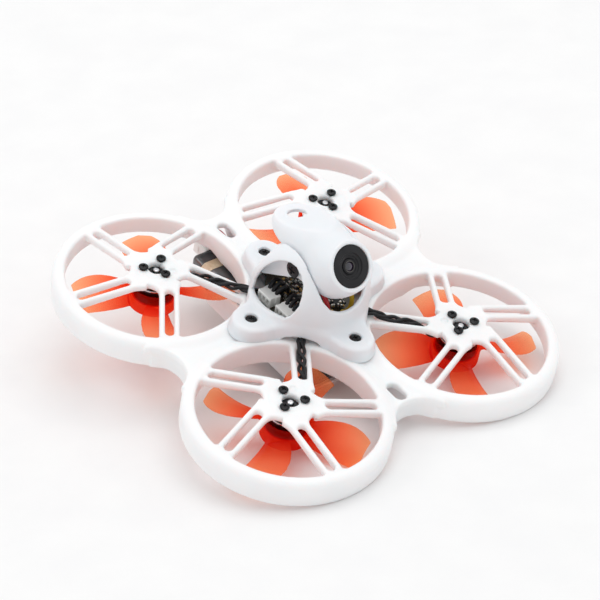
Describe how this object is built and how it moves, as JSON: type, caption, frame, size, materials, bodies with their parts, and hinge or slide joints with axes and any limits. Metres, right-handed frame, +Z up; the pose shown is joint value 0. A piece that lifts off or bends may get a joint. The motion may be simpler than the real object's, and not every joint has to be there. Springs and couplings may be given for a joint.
{
  "type": "fpv racing drone",
  "caption": "Ducted micro quadcopter: ring-guarded propellers on a moulded frame, a domed canopy with a tilting camera under a hood, and a battery in a tray below.",
  "frame": {"origin": "midway between the rotor axes, on the plane that the battery tray rests on", "axes": "+Z up along the rotor axes, the camera looks towards -Y, +X is the craft's left"},
  "size_m": [0.1046, 0.1046, 0.0421],
  "materials": {
    "white_plastic": "moulded, near-white, satin",
    "orange_propeller": "clear-tinted polycarbonate, orange-red",
    "black_screw": "black oxide",
    "black_bell": "black anodised, glossy",
    "copper_winding": "enamelled copper wire on a laminated core",
    "steel_shaft": "ground steel",
    "black_plastic": "moulded, black",
    "lens_glass": "coated lens",
    "circuit_board": "solder mask, black",
    "connector_plastic": "moulded nylon, off-white",
    "battery_wrap": "foil cell with a wrap",
    "black_wire": "silicone insulation",
    "red_wire": "silicone insulation",
    "yellow_wire": "silicone insulation"
  },
  "bodies": {
    "airframe": {"centre_deck": "white_plastic", "front_right_duct": "white_plastic", "front_right_motor_screw_1": "black_screw", "front_right_motor_screw_2": "black_screw", "front_right_motor_screw_3": "black_screw", "front_right_stator": "copper_winding", "front_right_motor_leads": "black_wire", "front_left_duct": "white_plastic", "front_left_motor_screw_1": "black_screw", "front_left_motor_screw_2": "black_screw", "front_left_motor_screw_3": "black_screw", "front_left_stator": "copper_winding", "front_left_motor_leads": "black_wire", "rear_right_duct": "white_plastic", "rear_right_motor_screw_1": "black_screw", "rear_right_motor_screw_2": "black_screw", "rear_right_motor_screw_3": "black_screw", "rear_right_stator": "copper_winding", "rear_right_motor_leads": "black_wire", "rear_left_duct": "white_plastic", "rear_left_motor_screw_1": "black_screw", "rear_left_motor_screw_2": "black_screw", "rear_left_motor_screw_3": "black_screw", "rear_left_stator": "copper_winding", "rear_left_motor_leads": "black_wire", "flight_board": "circuit_board", "motor_plug_front": "connector_plastic", "motor_plug_rear": "connector_plastic", "battery": "battery_wrap", "battery_plug": "connector_plastic", "battery_lead_red": "red_wire", "battery_lead_black": "black_wire", "canopy": "white_plastic", "camera_lead_red": "red_wire", "camera_lead_yellow": "yellow_wire", "canopy_screw_left": "black_screw", "canopy_screw_rear": "black_screw", "canopy_screw_right": "black_screw", "canopy_screw_front": "black_screw"},
    "front_right_rotor": {"front_right_bell": "black_bell", "front_right_shaft": "steel_shaft", "front_right_propeller": "orange_propeller"},
    "front_left_rotor": {"front_left_bell": "black_bell", "front_left_shaft": "steel_shaft", "front_left_propeller": "orange_propeller"},
    "rear_right_rotor": {"rear_right_bell": "black_bell", "rear_right_shaft": "steel_shaft", "rear_right_propeller": "orange_propeller"},
    "rear_left_rotor": {"rear_left_bell": "black_bell", "rear_left_shaft": "steel_shaft", "rear_left_propeller": "orange_propeller"},
    "camera": {"camera_hood": "white_plastic", "camera_body": "black_plastic", "lens_barrel": "black_plastic", "lens_glass": "lens_glass", "tilt_screw_right": "black_screw", "tilt_screw_left": "black_screw"}
  },
  "joints": [
    {"name": "front_right_spin", "type": "hinge", "parent": "airframe", "child": "front_right_rotor", "pos_m": [-0.02687, -0.02687, 0.012], "axis": [0, 0, 1], "continuous": true},
    {"name": "front_left_spin", "type": "hinge", "parent": "airframe", "child": "front_left_rotor", "pos_m": [0.02687, -0.02687, 0.012], "axis": [0, 0, 1], "continuous": true},
    {"name": "rear_right_spin", "type": "hinge", "parent": "airframe", "child": "rear_right_rotor", "pos_m": [-0.02687, 0.02687, 0.012], "axis": [0, 0, 1], "continuous": true},
    {"name": "rear_left_spin", "type": "hinge", "parent": "airframe", "child": "rear_left_rotor", "pos_m": [0.02687, 0.02687, 0.012], "axis": [0, 0, 1], "continuous": true},
    {"name": "camera_tilt", "type": "hinge", "parent": "airframe", "child": "camera", "pos_m": [0, -0.0022, 0.032], "axis": [-1, 0, 0], "range_deg": [-12, 12]}
  ]
}
